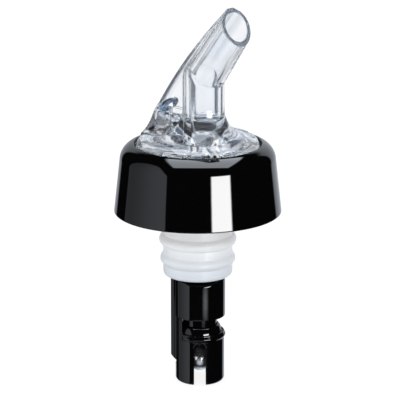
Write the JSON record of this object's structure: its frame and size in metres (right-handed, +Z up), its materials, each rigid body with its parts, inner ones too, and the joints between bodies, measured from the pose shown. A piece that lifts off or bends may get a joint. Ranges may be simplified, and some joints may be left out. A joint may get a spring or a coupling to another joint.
{
  "type": "measured pourer",
  "caption": "Clear angled pouring spout with a vent fin on a black collar, a ribbed frosted stopper and a black tail with a vent tube, a metering sleeve and steel ball valves.",
  "frame": {"origin": "on the stopper's axis, level with the lower end of the tail", "axes": "+Z up along the stopper's axis, +X towards the spout's mouth, +Y to the left of the pour"},
  "size_m": [0.044, 0.044, 0.1025],
  "materials": {
    "clear_plastic": "clear polished moulding",
    "collar_black": "gloss black moulding",
    "cork_frosted": "soft frosted translucent moulding",
    "tail_black": "gloss black moulding",
    "sleeve_black": "gloss black moulding",
    "vent_black": "gloss black extruded tube",
    "bush_clear": "clear moulding",
    "ball_steel": "polished stainless steel ball"
  },
  "bodies": {
    "pourer": {"pour_spout": "clear_plastic", "collar": "collar_black", "cork": "cork_frosted", "tail_body": "tail_black", "metering_sleeve": "sleeve_black", "vent_tube": "vent_black", "vent_bush": "bush_clear"},
    "timing_ball": {"metering_ball": "ball_steel"},
    "dump_ball": {"cage_ball": "ball_steel"},
    "air_ball": {"vent_ball": "ball_steel"}
  },
  "joints": [
    {"name": "timing_ball_travel", "type": "slide", "parent": "pourer", "child": "timing_ball", "axis": [0, 0, 1], "range_m": [0, 0.0356]},
    {"name": "dump_ball_travel", "type": "slide", "parent": "pourer", "child": "dump_ball", "axis": [0, 0, 1], "range_m": [0, 0.0022]},
    {"name": "air_ball_travel", "type": "slide", "parent": "pourer", "child": "air_ball", "axis": [0, 0, 1], "range_m": [0, 0.0022]}
  ]
}
